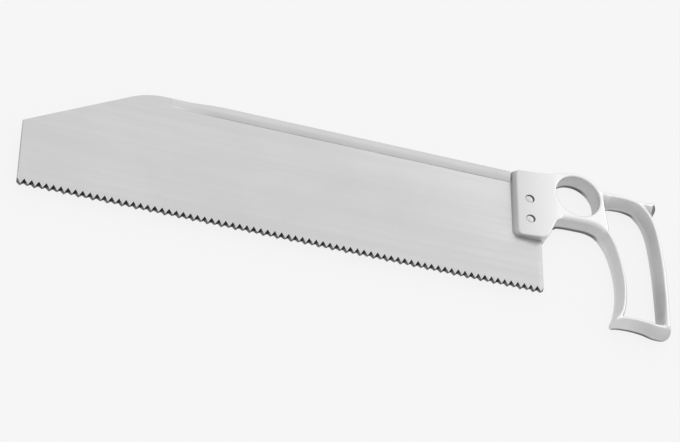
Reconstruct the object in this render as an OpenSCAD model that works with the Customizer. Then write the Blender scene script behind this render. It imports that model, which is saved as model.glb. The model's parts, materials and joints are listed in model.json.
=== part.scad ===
// Amputation saw: a flat toothed blade with a folded spine, riveted in a cast handle
// that has a finger ring and an open pistol grip. It lies flat, with +X from the toe
// to the handle, +Y from the teeth to the spine and +Z out of the upper face.
// Inside each module X starts at the blade's heel, Y at the tooth tips and Z at the
// middle of the blade; placed() then moves the piece to the part's own origin.

/* [Blade] */
// Length of the toothed edge, heel to toe
blade_length = 228; // [180:1:280]
// Depth of the blade, tooth tips to back edge
blade_height = 58.9; // [50:0.1:75]
// Thickness of the blade
blade_thickness = 1.5; // [1:0.1:2.5]
// Distance from one tooth to the next
tooth_pitch = 3; // [2:0.1:5]
// Depth of the gullets between the teeth
tooth_depth = 2.6; // [1.5:0.1:4]
// Height of the square toe
toe_height = 31.5; // [20:0.5:45]
// Length of the clipped nose, along the blade
nose_length = 51; // [30:0.5:70]
// Length of the soft corner on each side of the point where the nose meets the back edge
nose_blend = 8; // [3:0.5:15]

/* [Spine] */
// Length of the folded spine in front of the bolster
spine_length = 153; // [90:0.5:160]
// Depth of the spine, fold to lower edge
spine_height = 5.6; // [4:0.1:10]
// Thickness of the folded sheet
spine_sheet = 0.9; // [0.5:0.1:1.5]
// Length of the thinned front end
spine_taper = 12; // [4:0.5:25]
// Sheet left at the thin front end
spine_tip = 0.3; // [0.2:0.05:0.5]

/* [Bolster] */
// Length of blade held between the cheeks
bolster_reach = 13.6; // [10:0.1:20]
// Lower edge of the bolster above the tooth tips
bolster_bottom = 26.2; // [18:0.1:32]
// Upper edge of the bolster above the tooth tips
bolster_top = 60.4; // [56:0.1:64]
// Thickness of the bolster across both cheeks, at its front
bolster_depth = 5.7; // [5:0.1:8]
// How far the bolster reaches behind the heel of the blade
heel_cover = 1.4; // [1:0.1:3]
// Length over which each cheek rises from the front of the bolster to the thicker ring
cheek_length = 17.4; // [14:0.1:20]
// Length of the soft corners of the bolster on each side of the corner
bolster_corner = 3; // [2:0.1:4]
// How far the front wall of each cheek leans back
cheek_lean = 2.2; // [0.4:0.1:3]

/* [Finger ring] */
// Thickness of the finger ring
head_depth = 9.5; // [8:0.1:13]
// Rounding of the ring's edges
head_edge = 0.7; // [0.4:0.1:1.2]
// Bore of the finger ring
ring_bore = 20.5; // [18:0.5:23]
// Wall round the bore
ring_wall = 2.4; // [2:0.1:3.5]
// Easing of the bore's lips
ring_lip = 0.9; // [0.3:0.1:1.2]
// Centre of the ring behind the heel of the blade
ring_back = 16.8; // [15:0.1:20]
// Centre of the ring above the tooth tips
ring_height = 51.6; // [48:0.1:54]

/* [Grip] */
// Middle of the front strap behind the heel of the blade
strap_back = 35.7; // [34:0.1:40]
// Width of the front strap, front to rear
strap_width = 2.9; // [2.4:0.1:4]
// Thickness of the front strap across the handle
strap_depth = 8.2; // [7:0.1:9.4]
// Width of the knuckle bar under the finger ring
knuckle_width = 4; // [3.4:0.1:5]
// Thickness of the knuckle bar across the handle
knuckle_depth = 7.2; // [6:0.1:8.4]
// Middle of the rear bar behind the heel of the blade
rear_back = 55.6; // [52:0.1:62]
// Width of the rear bar, front to rear
rear_width = 3.9; // [3:0.1:5]
// Thickness of the rear bar across the handle
rear_depth = 9.3; // [7:0.1:9.4]
// Middle of the foot bar below the tooth tips
foot_drop = 6.8; // [2:0.1:14]
// Width of the foot bar, top to bottom
foot_width = 3.2; // [2.6:0.1:4.4]
// Thickness of the foot bar across the handle
foot_depth = 8.4; // [7:0.1:9.4]
// Middle of the top bar above the tooth tips
arch_height = 56.3; // [53:0.1:60]
// Width of the top bar, top to bottom
arch_width = 3.8; // [3:0.1:5]
// Thickness of the top bar across the handle
arch_depth = 9; // [7:0.1:9.4]

/* [Rivets] */
// Shank diameter of the rivets
rivet_shank = 3; // [2:0.1:4]
// Diameter of the domed rivet ends
rivet_head = 4.1; // [3.6:0.1:5.5]
// Depth of the round recess that takes each rivet end
rivet_recess = 0.8; // [0.5:0.05:1.2]
// Rivets in front of the heel of the blade
rivet_inset = 5.8; // [5:0.1:8]
// Lower rivet above the tooth tips
rivet_low = 35; // [32:0.1:38]
// Distance between the two rivets
rivet_spacing = 10.5; // [8:0.1:16]

/* [Fits] */
// Gap on each side of the blade in the bolster's slot
slot_clearance = 0.05; // [0.02:0.01:0.15]
// Gap on each side of the blade in the spine's fold
fold_clearance = 0.02; // [0.01:0.01:0.1]
// Gap round the rivets in their holes and recesses
rivet_clearance = 0.05; // [0.02:0.01:0.15]
// Gap between the heel of the blade and the end of the slot, and between spine and bolster
end_clearance = 0.15; // [0.05:0.05:0.4]

/* [Hidden] */
$fn = 64;
steel = [0.76, 0.77, 0.79];
casting = [0.88, 0.88, 0.87];
past = 1;

// Teeth fill the edge exactly, at the pitch nearest to the one asked for
tooth_count = round(blade_length / tooth_pitch);
tooth_step = blade_length / tooth_count;

// Levels of the blade, the spine and the handle
blade_half = blade_thickness / 2;
spine_inner = blade_half + fold_clearance;
spine_half = spine_inner + spine_sheet;
spine_top = blade_height + fold_clearance + spine_sheet;
spine_rear = -bolster_reach - end_clearance;
spine_front = spine_rear - spine_length;
bolster_half = bolster_depth / 2;
head_half = head_depth / 2;
cheek_front = -bolster_reach + cheek_lean;
rivet_level = mix(bolster_half, head_half, (-rivet_inset - cheek_front) / cheek_length);
ring_centre = [ring_back, ring_height];
ring_inner = ring_bore / 2;
ring_outer = ring_inner + ring_wall;
knuckle_level = ring_height - ring_outer + knuckle_width / 8;
foot_level = -foot_drop;

// Box of the whole saw, for an origin under its middle: the foot's rear corner stands out
// a little behind the rear bar and below the foot bar
box_left = -blade_length;
foot_behind = 0.19 * foot_width;
foot_below = 0.915 * foot_width;
box_right = rear_back + rear_width / 2 + foot_behind;
box_low = foot_level - foot_width / 2 - foot_below;
box_high = ring_height + ring_outer;
rest_half = max(head_depth, strap_depth, knuckle_depth, rear_depth, foot_depth, arch_depth) / 2;

function unit(v) = v / norm(v);
function mix(a, b, t) = a + (b - a) * t;
function left_of(v) = [-v[1], v[0]];
function power(v, p) = sign(v) * pow(abs(v), p);
function middle(points) = [for (p = points) 1] * points / len(points);

// A smooth curve through key points, each with its own half width and half depth
function through(a, b, c, d, t) =
    0.5 * (2 * b + (c - a) * t + (2 * a - 5 * b + 4 * c - d) * t * t + (3 * b - a - 3 * c + d) * t * t * t);
function curve(keys, steps, last) = [
    for (i = [0:last - 1], j = [0:steps - 1])
        through(keys[max(i - 1, 0)], keys[i], keys[i + 1], keys[min(i + 2, last)], j / steps),
    keys[last]
];

// A corner rounded by a curve that starts and ends a set length from it
function soft_corner(before, corner, after, cut, steps = 6) =
    let (start = corner + cut * unit(before - corner), end = corner + cut * unit(after - corner))
    [for (i = [0:steps]) let (t = i / steps)
        (1 - t) * (1 - t) * start + 2 * t * (1 - t) * corner + t * t * end];

// Direction into a closed outline that runs anticlockwise, at one of its points
function inward(outline, i, n) = unit(left_of(outline[(i + 1) % n] - outline[(i + n - 1) % n]));

// Skin over a stack of rings that have the same number of points, closed by a fan at each end
module skin(rings) {
    n = len(rings[0]);
    top = len(rings) - 1;
    low_hub = (top + 1) * n;
    high_hub = low_hub + 1;
    points = concat([for (ring = rings) each ring], [middle(rings[0]), middle(rings[top])]);
    sides = [for (j = [0:top - 1], i = [0:n - 1]) let (k = (i + 1) % n)
        each [[j * n + i, j * n + n + i, j * n + n + k], [j * n + i, j * n + n + k, j * n + k]]];
    caps = [for (i = [0:n - 1]) let (k = (i + 1) % n)
        each [[low_hub, i, k], [high_hub, top * n + k, top * n + i]]];
    polyhedron(points, concat(sides, caps));
}

// A bar of rounded section along a flat curve; keys are [x, y, half width, half depth]
module bar(keys, steps = 3, sides = 16) {
    path = curve(keys, steps, len(keys) - 1);
    last = len(path) - 1;
    squareness = 0.62;
    skin([for (i = [0:last])
        let (
            before = path[max(i - 1, 0)],
            after = path[min(i + 1, last)],
            across = left_of(unit([after[0] - before[0], after[1] - before[1]]))
        )
        [for (k = [0:sides - 1])
            let (
                turn = 360 * (k + 0.5) / sides,
                side = path[i][2] * power(cos(turn), squareness),
                lift = path[i][3] * power(sin(turn), squareness)
            )
            [path[i][0] + across[0] * side, path[i][1] + across[1] * side, lift]]]);
}

// A flat slab with rounded edges on both faces
module rounded_slab(outline, half, edge, steps = 4) {
    n = len(outline);
    low = [for (k = [0:steps]) [edge * (1 - sin(90 * k / steps)), edge * (1 - cos(90 * k / steps)) - half]];
    levels = concat(low, [for (k = [steps:-1:0]) [low[k][0], -low[k][1]]]);
    skin([for (level = levels)
        [for (i = [0:n - 1]) let (p = outline[i] + level[0] * inward(outline, i, n)) [p[0], p[1], level[1]]]]);
}

module placed() {
    translate([-(box_left + box_right) / 2, -(box_low + box_high) / 2, rest_half]) children();
}

// Holes through the blade or the cheeks for both rivets
module at_rivets() {
    for (level = [rivet_low, rivet_low + rivet_spacing])
        translate([-rivet_inset, level, 0]) children();
}

// Blade
function blade_outline() =
    let (
        toe_top = [-blade_length, toe_height],
        nose_top = [-blade_length + nose_length, blade_height],
        teeth = [for (i = [0:tooth_count - 1])
            each [[-i * tooth_step, tooth_depth], [-(i + 0.5) * tooth_step, 0]]],
        heel_top = [0, blade_height]
    )
    concat(
        [heel_top],
        teeth,
        [[-blade_length, tooth_depth], toe_top],
        soft_corner(toe_top, nose_top, heel_top, nose_blend)
    );

module blade() {
    color(steel) placed() difference() {
        translate([0, 0, -blade_half]) linear_extrude(blade_thickness) polygon(blade_outline());
        at_rivets() cylinder(d = rivet_shank + 2 * rivet_clearance, h = blade_thickness + 2 * past, center = true);
    }
}

// Spine: a strip folded over the back edge, thinned at its front end
module spine() {
    low = spine_top - spine_height;
    fold = spine_top - spine_sheet;
    color(steel) placed() difference() {
        translate([spine_front, 0, 0]) rotate([90, 0, 90]) linear_extrude(spine_length) polygon([
            [low, spine_inner], [low, spine_half], [spine_top, spine_half], [spine_top, -spine_half],
            [low, -spine_half], [low, -spine_inner], [fold, -spine_inner], [fold, spine_inner]
        ]);
        for (face = [0, 1]) mirror([0, 0, face]) translate([0, spine_top + past, 0]) rotate([90, 0, 0])
            linear_extrude(spine_height + 2 * past) spine_wedge(spine_inner, spine_half);
        translate([0, 0, -spine_half - past]) linear_extrude(2 * spine_half + 2 * past)
            spine_wedge(fold, spine_top);
    }
}

// What is cut away from the front of the spine to thin it from full sheet to its tip
module spine_wedge(inner, outer) {
    polygon([
        [spine_front - past, inner + spine_tip], [spine_front, inner + spine_tip],
        [spine_front + spine_taper, outer], [spine_front + spine_taper, outer + past],
        [spine_front - past, outer + past]
    ]);
}

// Handle: bolster and finger ring as one slab, with the bars of the grip joined to it
function head_outline() =
    let (
        low_front = [-bolster_reach, bolster_bottom],
        low_rear = [heel_cover, bolster_bottom],
        throat = [ring_back - 0.75 * ring_outer, knuckle_level - 0.35 * knuckle_width],
        ring_arc = [for (k = [0:20]) let (turn = mix(-110, 102, k / 20))
            ring_centre + ring_outer * [cos(turn), sin(turn)]],
        shoulder = [ring_back - 1.17 * ring_outer, bolster_top],
        high_front = [-bolster_reach, bolster_top]
    )
    concat(
        soft_corner(high_front, low_front, low_rear, bolster_corner),
        soft_corner(low_front, low_rear, throat, bolster_corner),
        soft_corner(low_rear, throat, ring_arc[0], bolster_corner),
        ring_arc,
        soft_corner(ring_arc[20], shoulder, high_front, 2 * bolster_corner),
        soft_corner(shoulder, high_front, low_front, bolster_corner)
    );

module bolster_and_ring() {
    rounded_slab(head_outline(), head_half, head_edge);
}

// Under the ring, round into the front strap and down to the foot
function strap_keys() =
    let (
        a = strap_width / 2,
        b = strap_depth / 2,
        ka = knuckle_width / 2,
        kb = knuckle_depth / 2
    )
    [
        [ring_back - 0.96 * ring_outer, knuckle_level - 0.65 * ka, ka, kb],
        [ring_back - 0.59 * ring_outer, knuckle_level - 0.2 * ka, ka, kb],
        [ring_back, knuckle_level + 0.05 * ka, ka, kb],
        [ring_back + 0.55 * ring_outer, knuckle_level - 0.4 * ka, ka, kb],
        [strap_back - 4.9 * a, mix(knuckle_level, foot_level, 0.07), mix(ka, a, 0.4), 0.92 * kb],
        [strap_back - 2.75 * a, mix(knuckle_level, foot_level, 0.175), mix(ka, a, 0.8), 0.92 * kb],
        [strap_back - 1.25 * a, mix(knuckle_level, foot_level, 0.31), a, mix(kb, b, 0.2)],
        [strap_back - 0.35 * a, mix(knuckle_level, foot_level, 0.46), a, mix(kb, b, 0.7)],
        [strap_back + 0.07 * a, mix(knuckle_level, foot_level, 0.62), 1.07 * a, b],
        [strap_back - 0.14 * a, mix(knuckle_level, foot_level, 0.78), 1.14 * a, b],
        [strap_back - 0.97 * a, mix(knuckle_level, foot_level, 0.92), 1.2 * a, b],
        [strap_back - 2.07 * a, foot_level - 0.4 * a, a, b]
    ];

// The wall between the ring and the window of the grip, down to the strap
function web_keys() =
    let (
        x = ring_back + ring_outer,
        a = ring_wall / 2,
        sa = strap_width / 2,
        kb = knuckle_depth / 2
    )
    [
        [x - 0.8 * a, mix(ring_height, arch_height, 0.85), 1.3 * a, 0.92 * head_half],
        [x - 0.7 * a, ring_height - 3.3 * a, 1.3 * a, 0.92 * head_half],
        [x - 0.9 * a, mix(knuckle_level, ring_height, 0.22), 1.95 * a, mix(kb, head_half, 0.4)],
        [x + 0.15 * a, knuckle_level - 1.7 * a, 1.85 * a, kb],
        [strap_back - 2.9 * sa, mix(knuckle_level, foot_level, 0.16), sa, 0.92 * kb]
    ];

// Fills the corner between the ring, the knuckle bar and the wall of the window
function gusset_keys() =
    let (
        x = ring_back + ring_outer,
        a = ring_wall / 2,
        kb = knuckle_depth / 2
    )
    [
        [x - 4.9 * a, knuckle_level + 2.7 * a, 2.2 * a, 0.95 * kb],
        [x - 2.4 * a, knuckle_level + 0.6 * a, 2.5 * a, 0.94 * kb],
        [x, knuckle_level - 2 * a, 1.85 * a, 0.86 * kb]
    ];

// From the ring over the window and down the rear of the grip
function loop_keys() =
    let (
        a = arch_width / 2,
        b = arch_depth / 2,
        ra = rear_width / 2,
        rb = rear_depth / 2,
        x = ring_back + ring_outer
    )
    [
        [x - 1.25 * a, arch_height + 0.5 * a, 0.8 * a, 0.98 * b],
        [x + 0.75 * a, arch_height - 0.1 * a, 1.5 * a, b],
        [x + 2.6 * a, arch_height, 1.26 * a, b],
        [mix(x, rear_back, 0.42), arch_height - 0.05 * a, a, b],
        [mix(x, rear_back, 0.62), arch_height - 0.7 * a, a, b],
        [rear_back - 3.3 * ra, mix(arch_height, foot_level, 0.065), mix(a, ra, 0.4), mix(b, rb, 0.5)],
        [rear_back - 2.2 * ra, mix(arch_height, foot_level, 0.125), ra, rb],
        [rear_back - 1.45 * ra, mix(arch_height, foot_level, 0.21), ra, rb],
        [rear_back - 0.82 * ra, mix(arch_height, foot_level, 0.34), ra, rb],
        [rear_back - 0.25 * ra, mix(arch_height, foot_level, 0.53), ra, rb],
        [rear_back, mix(arch_height, foot_level, 0.73), ra, rb],
        [rear_back + 0.08 * ra, mix(arch_height, foot_level, 0.89), ra, rb],
        [rear_back - 0.05 * ra, foot_level - 0.2 * ra, 1.05 * ra, 0.98 * rb]
    ];

// The corner of the top bar, drawn out straight to a blunt spur over the hand
function spur_keys() =
    let (a = arch_width / 2, b = arch_depth / 2)
    [
        [rear_back - 7.1 * a, arch_height - 0.35 * a, 0.8 * a, 0.93 * b],
        [rear_back - 4.7 * a, arch_height - 0.65 * a, 1.15 * a, 0.95 * b],
        [rear_back - 3 * a, arch_height - 1.1 * a, 1.55 * a, 0.97 * b],
        [rear_back - 1.8 * a, arch_height - 1.15 * a, 1.7 * a, 0.96 * b],
        [rear_back - 1.1 * a, arch_height - 0.75 * a, 1.4 * a, 0.93 * b],
        [rear_back - 0.7 * a, arch_height - 0.45 * a, 1.15 * a, 0.88 * b]
    ];

// Across the foot, deeper towards its rounded rear corner
function foot_keys() =
    let (a = foot_width / 2, b = foot_depth / 2)
    [
        [strap_back - 2.6 * a, foot_level - 0.94 * a, 0.75 * a, 0.95 * b],
        [strap_back - 0.6 * a, foot_level - 0.25 * a, 0.94 * a, b],
        [mix(strap_back, rear_back, 0.25), foot_level, a, b],
        [mix(strap_back, rear_back, 0.55), foot_level - 0.25 * a, 1.12 * a, b],
        [rear_back - 2.9 * a, foot_level - 0.88 * a, 1.55 * a, b],
        [rear_back - 0.6 * a, foot_level - 1.05 * a, 1.8 * a, b],
        [rear_back + 0.7 * a, foot_level - 0.75 * a, 1.4 * a, 0.95 * b],
        [rear_back + 1.25 * a, foot_level - 0.44 * a, 0.62 * a, 0.76 * b]
    ];

// Bore of the finger ring, with its lips eased on both faces
module ring_cut() {
    wide = ring_inner + ring_lip + past;
    high = head_half + past;
    translate(ring_centre) rotate_extrude() polygon([
        [0, -high], [wide, -high], [ring_inner, ring_lip - head_half],
        [ring_inner, head_half - ring_lip], [wide, high], [0, high]
    ]);
}

// Slot that takes the blade, open in front, above and below
module blade_slot() {
    gap = blade_thickness + 2 * slot_clearance;
    depth = bolster_top - bolster_bottom + 2 * past;
    translate([-bolster_reach - past, bolster_bottom - past, -gap / 2])
        cube([bolster_reach + past + end_clearance, depth, gap]);
}

// Leaning front wall of one cheek, and its face that rises from there to the ring
module cheek_cut() {
    past_run = past * cheek_length / (head_half - bolster_half);
    translate([0, box_high + past, 0]) rotate([90, 0, 0])
        linear_extrude(box_high - bolster_bottom + 2 * past) polygon([
            [-bolster_reach - past, blade_half], [-bolster_reach, blade_half],
            [cheek_front, bolster_half], [cheek_front + cheek_length + past_run, head_half + past],
            [-bolster_reach - past, head_half + past]
        ]);
}

module rivet_cut() {
    cylinder(d = rivet_shank + 2 * rivet_clearance, h = head_depth, center = true);
    for (face = [0, 1]) mirror([0, 0, face]) translate([0, 0, rivet_level - rivet_recess])
        cylinder(d = rivet_head + 2 * rivet_clearance, h = rivet_recess + past);
}

module handle() {
    color(casting) placed() difference() {
        union() {
            bolster_and_ring();
            bar(strap_keys());
            bar(web_keys());
            bar(gusset_keys());
            bar(loop_keys());
            bar(spur_keys());
            bar(foot_keys());
        }
        ring_cut();
        blade_slot();
        for (face = [0, 1]) mirror([0, 0, face]) cheek_cut();
        at_rivets() rivet_cut();
    }
}

// Rivet: a shank with a low dome on each end, seated on the floors of the recesses
module rivet(level) {
    seat = rivet_level - rivet_recess;
    rise = rivet_recess - rivet_clearance;
    radius = rivet_head / 2;
    dome = (radius * radius + rise * rise) / (2 * rise);
    color(steel) placed() translate([-rivet_inset, level, 0]) {
        cylinder(d = rivet_shank, h = 2 * seat + rise / 2, center = true);
        for (face = [0, 1]) mirror([0, 0, face]) intersection() {
            translate([0, 0, seat]) cylinder(r = radius, h = rise);
            translate([0, 0, seat + rise - dome]) sphere(dome);
        }
    }
}

module upper_rivet() { rivet(rivet_low + rivet_spacing); }
module lower_rivet() { rivet(rivet_low); }

blade();
spine();
handle();
upper_rivet();
lower_rivet();
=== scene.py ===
"""Amputation saw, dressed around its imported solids.

The blade, the spine, the handle and the rivets are rebuilt as fine meshes in the places
that the frame gives. Each has its own procedural finish, and the saw lies on a pale floor
under soft light, seen from the photograph's angle.
"""

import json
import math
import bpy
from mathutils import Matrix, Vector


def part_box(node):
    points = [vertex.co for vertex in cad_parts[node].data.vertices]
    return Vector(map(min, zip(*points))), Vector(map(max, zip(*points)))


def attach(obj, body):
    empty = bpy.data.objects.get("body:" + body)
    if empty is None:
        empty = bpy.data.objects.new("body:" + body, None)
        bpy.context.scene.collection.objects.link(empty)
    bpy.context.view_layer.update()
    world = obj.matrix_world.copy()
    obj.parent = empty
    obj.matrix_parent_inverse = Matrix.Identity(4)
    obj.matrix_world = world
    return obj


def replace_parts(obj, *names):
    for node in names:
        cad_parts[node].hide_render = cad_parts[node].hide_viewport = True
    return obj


bl_info = {
    "name": "Amputation Saw",
    "version": (1, 0, 0),
    "blender": (4, 5, 0),
    "location": "3D View > Sidebar > Saw",
    "description": "Builds the visible pieces of an amputation saw around its packed frame",
    "category": "Add Mesh",
}

import bmesh
import bpy
from bpy.props import FloatProperty, FloatVectorProperty, IntProperty, PointerProperty
from mathutils import Matrix, Quaternion, Vector, noise

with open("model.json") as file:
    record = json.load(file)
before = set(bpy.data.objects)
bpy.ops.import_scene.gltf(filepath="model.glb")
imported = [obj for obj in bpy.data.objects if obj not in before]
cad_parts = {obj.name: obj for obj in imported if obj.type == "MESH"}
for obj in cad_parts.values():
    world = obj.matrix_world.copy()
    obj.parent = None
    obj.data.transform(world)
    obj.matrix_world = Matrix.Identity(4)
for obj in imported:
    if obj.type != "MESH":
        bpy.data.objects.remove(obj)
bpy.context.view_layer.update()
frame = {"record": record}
BODY = "root"
MM = 0.001


def node_box(name):
    """Lowest and highest corner of a solid of the frame."""
    low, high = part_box(name)
    return Vector(low), Vector(high)


BLADE_LOW, BLADE_HIGH = node_box("blade")
SPINE_LOW, SPINE_HIGH = node_box("spine")
HANDLE_LOW, HANDLE_HIGH = node_box("handle")
RING_MOUNT = next(m for m in frame["record"]["mounts"] if m["name"] == "finger_ring")

# The heel of the blade at its tooth tips, in its middle plane: all sizes below start here
HEEL = Vector((BLADE_HIGH.x, BLADE_LOW.y, (BLADE_LOW.z + BLADE_HIGH.z) / 2))
BLADE_LENGTH = BLADE_HIGH.x - BLADE_LOW.x
BLADE_HEIGHT = BLADE_HIGH.y - BLADE_LOW.y
BLADE_HALF = (BLADE_HIGH.z - BLADE_LOW.z) / 2
HEAD_HALF = (HANDLE_HIGH.z - HANDLE_LOW.z) / 2
BOLSTER_REACH = HEEL.x - HANDLE_LOW.x
RING_CENTRE = Vector(RING_MOUNT["pos_m"]) - HEEL
RING_INNER = RING_MOUNT["dims"]["r_mm"] * MM


def length(name, millimetres, description):
    """A size that a user may change, given in millimetres."""
    return FloatProperty(
        name=name, description=description, default=millimetres * MM, unit="LENGTH", precision=5
    )


def angle(name, degrees, description):
    """An angle that a user may change, given in degrees."""
    return FloatProperty(
        name=name, description=description, default=math.radians(degrees), subtype="ANGLE"
    )


def colour(name, values, description):
    """A colour that a user may change, in linear light."""
    return FloatVectorProperty(
        name=name, description=description, default=values, subtype="COLOR", size=3, min=0, max=1
    )


def amount(name, value, description):
    """A plain number that a user may change."""
    return FloatProperty(name=name, description=description, default=value)


class BladeSettings(bpy.types.PropertyGroup):
    """Sizes and colours of the blade and its teeth."""

    tooth_pitch: length("Tooth pitch", 3, "Distance from one tooth to the next")
    tooth_depth: length("Tooth depth", 2.6, "Depth of the gullets between the teeth")
    lower_depth: length("Lower depth", 1.2, "Depth that the sloping gullets have on the lower face")
    tooth_set: length("Set", 0.2, "How far each tooth point is bent aside")
    filing_angle: angle("Filing angle", 3, "Slant of the file across the blade")
    toe_height: length("Toe height", 31.5, "Height of the square toe")
    nose_length: length("Nose length", 51, "Length of the clipped nose along the blade")
    nose_blend: length("Nose blend", 8, "Length of the soft corner on each side of the nose's top")
    edge_easing: length("Edge easing", 0.14, "Rounding of the blade's plain edges")
    steel: colour("Steel", (0.53, 0.53, 0.53), "Colour of the satin faces")
    # The flanks are painted dark: the colour stands for the shade in the gullets
    shaded_gullet_steel: colour("Gullet steel", (0.16, 0.16, 0.16), "Colour of the stained tooth flanks")


class SpineSettings(bpy.types.PropertyGroup):
    """Sizes and colour of the folded strip on the blade's back."""

    clearance: length("Clearance", 0.02, "Gap between the fold and the blade")
    fold_rounding: length("Fold rounding", 1.0, "Outer rounding of the fold")
    rim_height: length("Rim height", 2.1, "Height over which the strip's lower rims are filed off")
    taper: length("Taper", 26, "Length of the thinned front end")
    tip_sheet: length("Tip sheet", 0.06, "Sheet left at the thin front end")
    steel: colour("Steel", (0.53, 0.53, 0.53), "Colour of the drawn strip")


class HandleSettings(bpy.types.PropertyGroup):
    """Sizes and colour of the cast handle."""

    bolster_bottom: length("Bolster bottom", 26.2, "Lower edge of the bolster above the tooth tips")
    bolster_top: length("Bolster top", 60.4, "Upper edge of the bolster above the tooth tips")
    heel_cover: length("Heel cover", 1.4, "How far the bolster reaches behind the heel")
    corner: length("Corner", 2.6, "Length of the bolster's soft corners")
    cheek_lean: length("Cheek lean", 2.2, "How far the front walls of the cheeks lean back")
    bolster_depth: length("Bolster depth", 5.7, "Thickness of the bolster across both cheeks, at its front")
    cheek_length: length("Cheek length", 17.4, "Length over which each cheek rises to the ring")
    head_edge: length("Ring edge", 1.1, "Rounding of the ring's outer edges")
    knuckle_edge: length("Knuckle edge", 2.6, "Rounding of the ring's lower edge into the knuckle wall")
    bolster_edge: length("Bolster edge", 0.55, "Rounding of the bolster's edges")
    ring_wall: length("Ring wall", 2.4, "Wall round the bore of the finger ring")
    ring_lip: length("Ring lip", 0.8, "Rounding of the bore's lips")
    strap_back: length("Strap place", 35.7, "Middle of the front strap behind the heel")
    strap_width: length("Strap width", 2.9, "Width of the front strap")
    strap_depth: length("Strap depth", 8.2, "Thickness of the front strap")
    knuckle_width: length("Knuckle bar width", 4, "Width of the bar under the ring")
    rear_back: length("Rear bar place", 55.6, "Middle of the rear bar behind the heel")
    rear_width: length("Rear bar width", 3.9, "Width of the rear bar")
    rear_depth: length("Rear bar depth", 9.3, "Thickness of the rear bar")
    foot_drop: length("Foot drop", 6.8, "Middle of the foot bar below the tooth tips")
    foot_width: length("Foot width", 3.2, "Width of the foot bar")
    foot_depth: length("Foot depth", 8.4, "Thickness of the foot bar")
    arch_height: length("Top bar height", 56.3, "Middle of the top bar above the tooth tips")
    arch_width: length("Top bar width", 3.8, "Width of the top bar")
    arch_depth: length("Top bar depth", 9, "Thickness of the top bar")
    slot_clearance: length("Slot clearance", 0.05, "Gap on each side of the blade in the slot")
    slot_end: length("Slot end", 0.15, "Gap behind the heel of the blade in the slot")
    cast_cell: length("Cast cell", 0.25, "Cell of the mesh that joins the bars into one casting")
    blend_passes: IntProperty(
        name="Blend passes", description="Smoothing of the joins between the bars", default=12
    )
    crest: amount("Crest", 0.14, "Shift of the bars' highest line, as a share of their half width")
    back_power: amount("Back power", 0.85, "Shape of the bars' rounded backs; lower is squarer")
    flank_power: amount("Flank power", 1.75, "Shape of the bars' long flanks; higher is flatter")
    bolster_blend: amount("Bolster blend", 0.08, "Share of that smoothing on the bolster")
    fullness: amount("Fullness", 1.045, "How much fuller the bars are drawn, as the blending thins them")
    hand_finish: length("Hand finish", 0.035, "Unevenness left by the polisher's wheel")
    alloy: colour("Alloy", (0.73, 0.73, 0.73), "Colour of the cast alloy")


class RivetSettings(bpy.types.PropertyGroup):
    """Sizes and colour of the two rivets and their recesses."""

    shank: length("Shank", 3, "Diameter of the rivet's shank")
    recess: length("Recess", 0.8, "Depth of the round recess round each rivet end")
    clearance: length("Clearance", 0.05, "Gap round the rivet in its recess")
    rim: length("Rim", 0.25, "Height of the upright rim under each domed end")
    peening: length("Peening", 0.03, "Unevenness left on the rivet's end by the hammer")
    steel: colour("Steel", (0.60, 0.60, 0.60), "Colour of the rivet ends")


class StageSettings(bpy.types.PropertyGroup):
    """Floor, light and camera."""

    aim: FloatVectorProperty(
        name="Aim",
        description="Point that the camera looks at, from the heel of the blade",
        default=(-91.5 * MM, 15 * MM, 0),
        subtype="TRANSLATION",
        precision=5,
    )
    distance: length("Distance", 1004.25, "Distance of the camera from its aim")
    azimuth: angle("Azimuth", -25.174, "Turn of the camera round the saw")
    elevation: angle("Elevation", 50.44, "Height of the camera above the floor")
    roll: angle("Roll", 31.881, "Turn of the camera about its own line of sight")
    lens: amount("Lens", 127.75, "Focal length of the lens in millimetres, on a 36 mm sensor")
    floor: colour("Floor", (0.08, 0.08, 0.08), "Colour of the floor")
    floor_glow: amount("Floor glow", 0.84, "Light that the floor gives out itself, as a light table does")
    sky_light: amount("Sky light", 1.28, "Strength of the soft light overhead")
    horizon_light: amount("Horizon light", 0.83, "Strength of the light from low down")
    bright_side: FloatVectorProperty(
        name="Bright side",
        description="Direction in which the overhead light is strongest",
        default=(0.55, 0.75, 0.37),
        subtype="DIRECTION",
    )
    key_light: amount("Key light", 0.3, "Power of the large lamp behind the handle")


# Meshes

# Lengths of the unevenness that hand work leaves: folding, filing, wheeling and hammering
FOLD_LENGTH = 14 * MM
FILE_LENGTH = 23 * MM
BROAD_SWELL = 7 * MM
FINE_SWELL = 2.6 * MM
DENT_LENGTH = 0.9 * MM
# Shares of the spine's sheet and rim that hand work leaves
FOLD_LOSS = 0.05
RIM_SHARES = (0.75, 1.25)
LIP_SHARES = (0.03, 0.2)


def in_scene(name, data):
    """A new object in the scene."""
    made = bpy.data.objects.new(name, data)
    bpy.context.scene.collection.objects.link(made)
    return made


def new_piece(name, mesh):
    """Puts a finished mesh in the scene as a piece of the saw."""
    piece = in_scene(name, mesh)
    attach(piece, BODY)
    return piece


def mesh_of(name, bm):
    """Writes a bmesh to a new mesh, with its faces turned outwards."""
    bmesh.ops.recalc_face_normals(bm, faces=bm.faces)
    mesh = bpy.data.meshes.new(name)
    bm.to_mesh(mesh)
    bm.free()
    return mesh


def soften(mesh, degrees):
    """Shades a mesh smooth, but for edges sharper than the angle."""
    mesh.shade_smooth()
    mesh.set_sharp_from_angle(angle=math.radians(degrees))


def loft(bm, rings):
    """Skins a stack of rings that have the same number of points, and closes both ends."""
    rows = [[bm.verts.new(point) for point in ring] for ring in rings]
    count = len(rows[0])
    for low, high in zip(rows, rows[1:]):
        for i in range(count):
            k = (i + 1) % count
            bm.faces.new((low[i], low[k], high[k], high[i]))
    bm.faces.new(list(reversed(rows[0])))
    bm.faces.new(rows[-1])


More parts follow.
